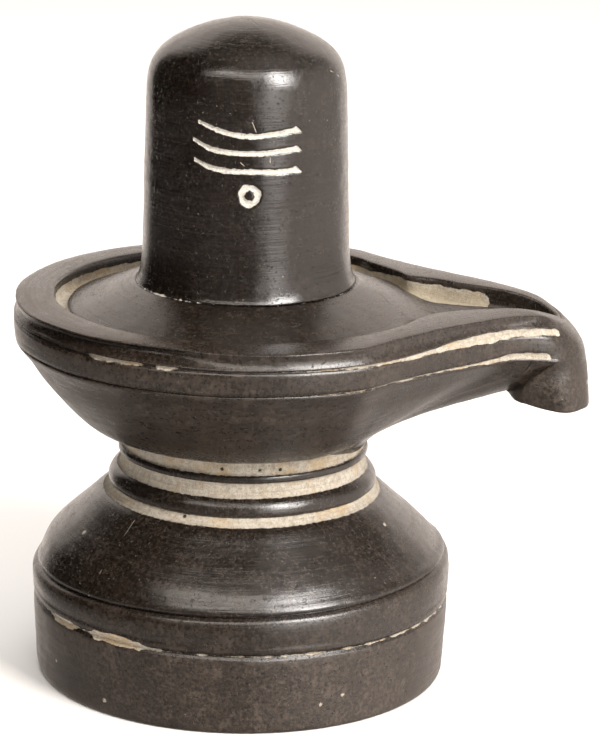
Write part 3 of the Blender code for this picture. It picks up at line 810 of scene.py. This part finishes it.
def beak_rows(under):
    """The turned-down beak: its front, underside and back. Only the beak's columns use them."""
    last = under[(SIDE > 0) & (STEP == BEAK_SIDE)][0]
    waist = beak_row(BEAK_WAIST)
    front = beak_row(BEAK_FRONT)
    rear = beak_row(BEAK_REAR)
    back = beak_row(BEAK_BACK)
    root = beak_row(BEAK_ROOT, last)
    width = np.linalg.norm(rear - front, axis=1)
    fillet = np.minimum(BEAK_FILLET, BEAK_FILLET_SHARE * width)[:, None]
    up_front = unit(waist - front)
    up_back = unit(back - rear)
    run = unit(rear - front)
    front_end = front + up_front * fillet
    rear_end = rear + up_back * fillet
    shares = np.linspace(0, 1, BEAK_BENDS + 1)
    for t in shares[1:]:
        add(bent(under, waist, front_end, t), NO_CUT, BEAK_WEAR, "front")
    rounding = SHOULDER_SHARE * (1 - smooth(STEP, *SHOULDER_END))
    soften(ROWS[-SHOULDER_ROWS:-2], rounding, SHOULDER_PASSES)
    add(front + (up_front + run) * fillet * BEAK_FILLET_MIDDLE, NO_CUT, BEAK_WEAR, "under")
    hollow = BEAK_HOLLOW * smooth(width, *BEAK_HOLLOW_WIDTHS)
    for t in np.linspace(*BEAK_UNDER_ROWS):
        point = front + (rear - front) * t
        point = np.where(fillet < BEAK_ROWS_MEET, front, point)
        add(point - UP * (hollow * math.sin(math.pi * t))[:, None], NO_CUT, BEAK_WEAR, "under")
    add(rear + (up_back - run) * fillet * BEAK_FILLET_MIDDLE, NO_CUT, BEAK_WEAR, "under")
    for t in shares[:0:-1]:
        add(bent(root, back, rear_end, t), NO_CUT, BEAK_WEAR, "back")
    add(root, BEAK_ROOT_CUT, BEAK_ROOT_WEAR, "root")
    return np.where((STEP < BEAK_SIDE)[:, None], root, under)


def soften(rows, share, passes):
    """Rounds the turns from row to row where the share is above zero. The end rows stay."""
    for _ in range(passes):
        points = [row["points"] for row in rows]
        for i in range(1, len(rows) - 1):
            middle = (points[i - 1] + points[i + 1]) / 2
            rows[i]["points"] = points[i] + (middle - points[i]) * share[:, None]


def bent(start, middle, end, t):
    """A point on the curve that runs through the three points."""
    slope = (end - start) * 0.5
    if t <= 0.5:
        return cubic(start, middle, middle - start, slope, t * 2)
    return cubic(middle, end, slope, end - middle, t * 2 - 1)


def underside_rows(start):
    """The bowl's underside, round under the dish and straighter under the spout."""
    foot = ring(BOWL_FOOT[0], BOWL_FOOT_HEIGHT)
    for share in np.concatenate([np.linspace(*run) for run in BOWL_RUNS]):
        point = foot + (start - foot) * share
        rise = table(BOWL_CURVE, share) * (1 - UNDER_SPOUT) + share ** KEEL_BOW * UNDER_SPOUT
        point[:, 2] = foot[:, 2] + (start[:, 2] - foot[:, 2]) * rise
        # Darker towards the foot: polish and painted shade under the bowl.
        add(point, NO_CUT, BOWL_FOOT_WEAR_AND_SHADE + BOWL_EDGE_WEAR_AND_SHADE * smooth(share, *BOWL_WEAR_AND_SHADE_SHARES))


def neck_rows():
    """The neck starts under the bowl, whose foot is lower below the spout."""
    radius, first = NECK_PROFILE[0]
    for share in NECK_START:
        height = BOWL_FOOT_HEIGHT + (first - BOWL_FOOT_HEIGHT) * share
        add(ring(radius, height), NECK_START_CUT + NECK_START_CUT_RISE * share, NECK_WEAR)
    for k, (radius, height) in enumerate(NECK_PROFILE):
        lowered = np.minimum(height, BOWL_FOOT_HEIGHT - NECK_ROW_GAP * (k + 1))
        inside = max(min(height - low, high - height) for low, high in RAW_RINGS)
        add(ring(radius, lowered), np.clip(inside, NO_CUT, -NO_CUT), NECK_WEAR)


def bell_rows():
    for height in np.linspace(BELL_PROFILE[0][1], BELL_PROFILE[-1][1], BELL_ROWS + 1)[1:]:
        shift = table(CREASE_SHIFT, DEGREES) * smooth(height, *CREASE_ON_BELL)
        add(ring(radius_at(BELL_PROFILE, height), height + shift), BELL_CUT, BELL_WEAR)


def base_raw(height):
    """How far inside the chipped groove above the drum this height is."""
    lift = BASE_LIFT * about(BASE_LIFT_AZIMUTH, BASE_LIFT_SPREAD)
    half = table(BASE_RAW, DEGREES) + BASE_RAGGED * wobble(AZIMUTH, *BASE_NOISE)
    return np.clip(half - np.abs(height - BASE_GROOVE - lift), NO_CUT, BASE_RAW_MOST)


def band_rows():
    for radius, height in BAND_PROFILE:
        shift = table(CREASE_SHIFT, DEGREES) * smooth(height, *CREASE_ON_BAND)
        add(ring(radius, height + shift), base_raw(height), BAND_WEAR)


def drum_rows():
    for height in DRUM_HEIGHTS:
        add(ring(radius_at(DRUM_PROFILE, height), height), base_raw(height), DRUM_WEAR)
    add(ring(*FOOT_EDGE), NO_CUT, DRUM_WEAR)
    for radius in FOOT_RADII:
        add(ring(radius, 0.0), NO_CUT, DRUM_WEAR)


def mesh_of_rows(name):
    """Joins the rows into one closed skin. The beak's rows zip together at its widest place."""
    inside = STEP <= BEAK_SIDE
    edge = STEP == BEAK_SIDE
    index = []
    vertices = []
    values = {"cut": [], "wear_and_painted_light": [], "across": []}
    across = 0.0
    before = None
    under = None
    fronts = []
    for row in ROWS:
        points = row["points"]
        kind = row["kind"]
        if before is not None:
            gap = np.linalg.norm(points - before, axis=1)
            use = inside if kind in ("front", "under", "back") else slice(None)
            across += float(np.mean(gap[use]))
        before = points
        ids = np.full(COUNT, -1)
        fresh = {"round": STEP >= 0, "front": inside}.get(kind, inside & ~edge)
        made = int(fresh.sum())
        ids[fresh] = len(vertices) + np.arange(made)
        vertices.extend(points[fresh])
        for key in ("cut", "wear_and_painted_light"):
            values[key].extend(row[key][fresh])
        values["across"].extend([across] * made)
        if kind == "round" and not fronts:
            under = ids
        elif kind == "front":
            fronts.append(ids)
        elif kind == "under":
            ids[edge] = fronts[-1][edge]
            backs = list(fronts)
        elif kind == "back":
            ids[edge] = backs.pop()[edge]
        elif kind == "root":
            ids[~fresh] = under[~fresh]
        index.append(ids)
    faces = []
    for a, b in zip(index, index[1:]):
        for j in range(COUNT):
            k = (j + 1) % COUNT
            corners = [a[j], b[j], b[k], a[k]]
            if min(corners) < 0:
                continue
            kept = [c for i, c in enumerate(corners) if c != corners[i - 1]]
            if len(kept) > 2:
                faces.append([int(c) for c in kept])
    crown = len(vertices)
    centre = crown + 1
    vertices += [leaned(UP * SHAFT_TOP), np.zeros(3)]
    for key, value in (("cut", NO_CUT), ("wear_and_painted_light", END_WEAR), ("across", 0.0)):
        values[key] += [value, value]
    for j in range(COUNT):
        k = (j + 1) % COUNT
        faces.append([crown, int(index[0][j]), int(index[0][k])])
        faces.append([centre, int(index[-1][k]), int(index[-1][j])])
    return build_mesh(name, np.array(vertices), faces, values)


def hand_carved(points):
    """Moves each point a hair, in patches of two sizes, as a hand-held grinder leaves them."""
    moved = points.copy()
    for i, point in enumerate(points):
        off = Vector((0.0, 0.0, 0.0))
        for fineness, size in CARVED_WAVES:
            off = off + noise.noise_vector(Vector(point) * fineness) * size
        hold = min(max(point[2] / CARVED_FOOT, 0.0), 1.0)
        moved[i] = point + np.array(off) * hold
    return moved


def build_mesh(name, vertices, faces, values):
    """The piece itself, in metres, with the values of its points for the material."""
    mesh = bpy.data.meshes.new(name)
    mesh.from_pydata((hand_carved(vertices) * MM).tolist(), [], faces)
    mesh.update()
    for key, value in values.items():
        layer = mesh.attributes.new(key, "FLOAT", "POINT")
        layer.data.foreach_set("value", np.array(value, np.float32))
    mesh.shade_smooth()
    piece = bpy.data.objects.new(name, mesh)
    bpy.context.scene.collection.objects.link(piece)
    return piece


class Graph:
    """A short way to write shader nodes."""

    def __init__(self, tree):
        self.tree = tree

    def node(self, kind, **settings):
        made = self.tree.nodes.new(kind)
        for key, value in settings.items():
            setattr(made, key, value)
        return made

    def put(self, socket, value):
        """Joins a socket to an output, or gives it a value."""
        if isinstance(value, bpy.types.NodeSocket):
            self.tree.links.new(value, socket)
        elif socket.type == "RGBA":
            socket.default_value = (*value, 1.0)
        else:
            socket.default_value = value

    def math(self, operation, a, b):
        made = self.node("ShaderNodeMath", operation=operation)
        self.put(made.inputs[0], a)
        self.put(made.inputs[1], b)
        return made.outputs[0]

    def plus(self, a, b):
        return self.math("ADD", a, b)

    def minus(self, a, b):
        return self.math("SUBTRACT", a, b)

    def times(self, a, b):
        return self.math("MULTIPLY", a, b)

    def most(self, a, b):
        return self.math("MAXIMUM", a, b)

    def varied(self, texture, size):
        """A texture about its middle, times this size."""
        return self.times(self.minus(texture, 0.5), size)

    def vector(self, operation, a, b=(0.0, 0.0, 0.0), scale=1.0):
        made = self.node("ShaderNodeVectorMath", operation=operation)
        self.put(made.inputs[0], a)
        if operation == "SCALE":
            self.put(made.inputs["Scale"], scale)
        else:
            self.put(made.inputs[1], b)
        return made.outputs["Value"] if operation in ("LENGTH", "DOT_PRODUCT") else made.outputs[0]

    def part(self, vector, axis):
        made = self.node("ShaderNodeSeparateXYZ")
        self.put(made.inputs[0], vector)
        return made.outputs[axis]

    def attribute(self, name):
        return self.node("ShaderNodeAttribute", attribute_name=name).outputs["Fac"]

    def place(self, kind):
        return self.node("ShaderNodeTexCoord").outputs[kind]

    def noise(self, place, scale, detail, rough, w=None):
        made = self.node("ShaderNodeTexNoise", noise_dimensions="3D" if w is None else "4D")
        inputs = {"Vector": place, "Scale": scale, "Detail": detail, "Roughness": rough}
        if w is not None:
            inputs["W"] = w
        for key, value in inputs.items():
            self.put(made.inputs[key], value)
        return made.outputs["Fac"]

    def step(self, value, start, end, low=0.0, high=1.0):
        """A smooth step from low at the start to high at the end."""
        if start > end:
            start, end, low, high = end, start, high, low
        made = self.node("ShaderNodeMapRange", interpolation_type="SMOOTHSTEP")
        self.put(made.inputs["Value"], value)
        for key, number in (("From Min", start), ("From Max", end), ("To Min", low), ("To Max", high)):
            made.inputs[key].default_value = number
        return made.outputs["Result"]

    def mixed(self, data_type, first_input, output, share, a, b):
        made = self.node("ShaderNodeMix", data_type=data_type)
        self.put(made.inputs["Factor"], share)
        self.put(made.inputs[first_input], a)
        self.put(made.inputs[first_input + 1], b)
        return made.outputs[output]

    def mix(self, share, a, b):
        """A mix of two colours."""
        return self.mixed("RGBA", 6, 2, share, a, b)

    def blend(self, share, a, b):
        """A mix of two numbers."""
        return self.mixed("FLOAT", 2, 0, share, a, b)

    def shades(self, texture, start, end, darkest, lightest):
        return self.mix(self.step(texture, start, end), darkest, lightest)

    def tint(self, base, texture, start, end, strength, colour):
        return self.mix(self.times(self.step(texture, start, end), strength), base, colour)

    def hair(self, place, start, end, width):
        """1 on a fine straight mark between two points, 0 away from it."""
        run = Vector(end) - Vector(start)
        reach = self.vector("SUBTRACT", place, start)
        share = self.math("DIVIDE", self.vector("DOT_PRODUCT", reach, tuple(run)), run.length_squared)
        share = self.math("MINIMUM", self.most(share, 0.0), 1.0)
        foot = self.vector("SCALE", tuple(run), scale=share)
        return self.step(self.vector("LENGTH", self.vector("SUBTRACT", reach, foot)), width, width * 0.5)

    def hairs(self, place, marks, width):
        found = 0.0
        for start, end in marks:
            found = self.most(found, self.hair(place, start, end, width))
        return found

    def spots(self, place, marks, ragged):
        """1 inside the round marks, whose edges are made ragged by the texture given."""
        found = -9.0
        for x, y, z, radius in marks:
            gap = self.vector("LENGTH", self.vector("SUBTRACT", place, (x, y, z)))
            found = self.most(found, self.minus(radius, gap))
        return self.step(self.plus(found, ragged), *SPOT_EDGE)


def new_material(name):
    """A new material, the graph of its nodes and the inputs of its shader."""
    made = bpy.data.materials.new(name)
    made.use_nodes = True
    return made, Graph(made.node_tree), made.node_tree.nodes["Principled BSDF"].inputs


def stone_material():
    """Waxed dark stone with fine sanding lines, and pale grainy stone where it is cut raw."""
    made, g, shader = new_material("carved_dark_stone")
    place = g.vector("SCALE", g.place("Object"), scale=1 / MM)
    cut = g.attribute("cut")
    wear_and_painted_light = g.attribute("wear_and_painted_light")
    across = g.attribute("across")

    def lines(scale, scale_across, detail, rough):
        stretched = g.vector("SCALE", place, scale=scale)
        return g.noise(stretched, 1.0, detail, rough, w=g.times(across, scale_across))

    coarse = g.noise(place, *COARSE)
    fine = g.noise(place, *FINE)
    grain = g.noise(place, *GRAIN)
    mottle = g.noise(place, *MOTTLE)
    patch = g.noise(place, *PATCHES)
    cloud = g.noise(place, *CLOUDS)
    sanded = lines(*SANDED)
    scored = lines(*SCORED)
    jitter = g.plus(g.varied(coarse, COARSE_EDGE), g.varied(fine, FINE_EDGE))
    raw = g.step(g.plus(cut, jitter), *RAW_EDGE)

    # The wear value also holds painted light: shade under the bowl and on the rim's left face, and a
    # reflection on the rim's left top.
    skin = g.mix(wear_and_painted_light, g.shades(mottle, *POLISHED), g.shades(mottle, *DULL))
    skin = g.tint(skin, patch, *PATCH_TINT)
    skin = g.tint(skin, sanded, *SANDED_TINT)
    skin = g.tint(skin, grain, *SPECK_RANGE, g.blend(wear_and_painted_light, *SPECK_STRENGTH), SPECK_COLOUR)
    skin = g.tint(skin, cloud, *HAZE_RANGE, g.blend(wear_and_painted_light, *HAZE_STRENGTH), HAZE_COLOUR)
    zone = g.step(g.noise(place, *FLECK_ZONES), *FLECK_ZONE_RANGE)
    flecks = g.noise(place, *FLECKS)
    skin = g.tint(skin, flecks, *FLECK_RANGE, g.times(zone, FLECK_STRENGTH), FLECK_COLOUR)
    nick = g.varied(fine, SPOT_RAGGED)
    chip = g.most(g.spots(place, PALE_CHIPS, nick), g.hairs(place, SCRATCHES, SCRATCH_WIDTH))
    skin = g.mix(g.times(chip, CHIP_STRENGTH), skin, CHIP_COLOUR)
    pit = g.step(g.noise(place, *PITS), *PIT_RANGE)
    skin = g.mix(g.times(pit, PIT_STRENGTH), skin, PIT_COLOUR)

    pale = g.shades(coarse, *RAW)
    pale = g.tint(pale, g.noise(place, *OCHRE), *RAW_OCHRE_TINT)
    pale = g.tint(pale, wear_and_painted_light, *RAW_WORN_TINT)
    pale = g.tint(pale, wear_and_painted_light, *RAW_CHALK_TINT)
    pale = g.tint(pale, sanded, *RAW_SANDED_TINT)
    pale = g.tint(pale, fine, *RAW_GRAIN_TINT)
    hole = g.most(g.spots(place, DARK_PITS, nick), g.hairs(place, CRACKS, CRACK_WIDTH))
    colour = g.mix(hole, g.mix(raw, skin, pale), HOLE_COLOUR)

    rough = g.blend(wear_and_painted_light, *POLISH_ROUGHNESS)
    for texture, size in zip((mottle, scored, cloud, patch), ROUGHNESS_VARIES):
        rough = g.plus(rough, g.varied(texture, size))
    rough = g.blend(raw, g.most(rough, LEAST_ROUGHNESS), RAW_ROUGHNESS)

    relief = g.plus(g.times(sanded, SANDED_RELIEF), g.times(scored, SCORED_RELIEF))
    relief = g.plus(relief, g.times(grain, g.blend(wear_and_painted_light, *GRAIN_RELIEF)))
    relief = g.minus(relief, g.times(pit, PIT_RELIEF))
    broken = g.plus(g.times(coarse, COARSE_RELIEF), g.times(fine, FINE_RELIEF))
    relief = g.blend(raw, relief, g.minus(broken, RAW_SINK))
    relief = g.minus(relief, g.times(hole, HOLE_RELIEF))
    bump = g.node("ShaderNodeBump")
    g.put(bump.inputs["Height"], relief)
    g.put(bump.inputs["Distance"], MM)
    g.put(bump.inputs["Strength"], 1.0)
    g.put(shader["Base Color"], colour)
    g.put(shader["Roughness"], rough)
    g.put(shader["Specular IOR Level"], POLISH_LEVEL)
    g.put(shader["Normal"], bump.outputs["Normal"])
    return made


def floor():
    mesh = bpy.data.meshes.new("studio_floor")
    corners = [(x * FLOOR_HALF, y * FLOOR_HALF, 0) for x, y in ((-1, -1), (1, -1), (1, 1), (-1, 1))]
    mesh.from_pydata(corners, [], [(0, 1, 2, 3)])
    piece = bpy.data.objects.new("studio_floor", mesh)
    bpy.context.scene.collection.objects.link(piece)
    made, g, shader = new_material("pale_floor")
    g.put(shader["Base Color"], FLOOR_COLOUR)
    g.put(shader["Roughness"], FLOOR_ROUGHNESS)
    mesh.materials.append(made)
    piece.visible_glossy = False


def lamp(name, turn, rise, reach, size, power, colour, mirrored):
    """A soft lamp that looks at the stone."""
    turn = math.radians(turn)
    rise = math.radians(rise)
    target = Vector(LAMP_TARGET)
    place = target + reach * Vector((
        math.cos(rise) * math.sin(turn), -math.cos(rise) * math.cos(turn), math.sin(rise),
    ))
    data = bpy.data.lights.new(name, "AREA")
    data.shape = "RECTANGLE"
    data.size = size[0]
    data.size_y = size[1]
    data.energy = power
    data.color = colour
    light = bpy.data.objects.new(name, data)
    light.location = place
    light.rotation_euler = (target - place).to_track_quat("-Z", "Y").to_euler()
    light.visible_glossy = mirrored
    bpy.context.scene.collection.objects.link(light)


def world():
    """A white screen behind the stone, a pale side to the right and a dark room on the left."""
    made = bpy.data.worlds.new("studio")
    made.use_nodes = True
    bpy.context.scene.world = made
    g = Graph(made.node_tree)
    direction = g.place("Generated")
    level = g.vector("NORMALIZE", g.vector("MULTIPLY", direction, (1.0, 1.0, 0.0)))
    ways = {"right": g.part(level, "X"), "behind": g.part(level, "Y"), "above": g.part(direction, "Z")}
    total = 0.0
    for surface in SURROUNDINGS:
        light = 1.0
        for way, start, end, low, high in surface:
            light = g.times(light, g.step(ways[way], start, end, low, high))
        total = g.plus(total, light)
    background = made.node_tree.nodes["Background"].inputs
    g.put(background["Strength"], total)
    g.put(background["Color"], ROOM_TINT)


def camera():
    data = bpy.data.cameras.new("camera")
    data.sensor_width = CAMERA_SENSOR
    data.lens = CAMERA_LENS
    data.clip_start, data.clip_end = CAMERA_CLIP
    made = bpy.data.objects.new("camera", data)
    back = Vector((0.0, -math.cos(CAMERA_ELEVATION), math.sin(CAMERA_ELEVATION)))
    level = Vector((1.0, 0.0, 0.0))
    above = back.cross(level)
    right = level * math.cos(CAMERA_ROLL) + above * math.sin(CAMERA_ROLL)
    up = back.cross(right)
    turn = Matrix((right, up, back)).transposed().to_4x4()
    turn.translation = Vector(CAMERA_TARGET) + back * CAMERA_DISTANCE
    made.matrix_world = turn
    bpy.context.scene.collection.objects.link(made)
    bpy.context.scene.camera = made


def stone():
    shaft()
    rim = floor_rows()
    under = rim_rows(rim)
    start = beak_rows(under)
    underside_rows(start)
    neck_rows()
    bell_rows()
    band_rows()
    drum_rows()
    piece = mesh_of_rows("carved_stone")
    piece.data.materials.append(stone_material())
    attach(piece, "root")
    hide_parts(NODE)


camera()
world()
floor()
for lamp_name, settings in LAMPS.items():
    lamp(lamp_name, *settings)
stone()
bpy.context.scene.view_settings.view_transform = "Standard"
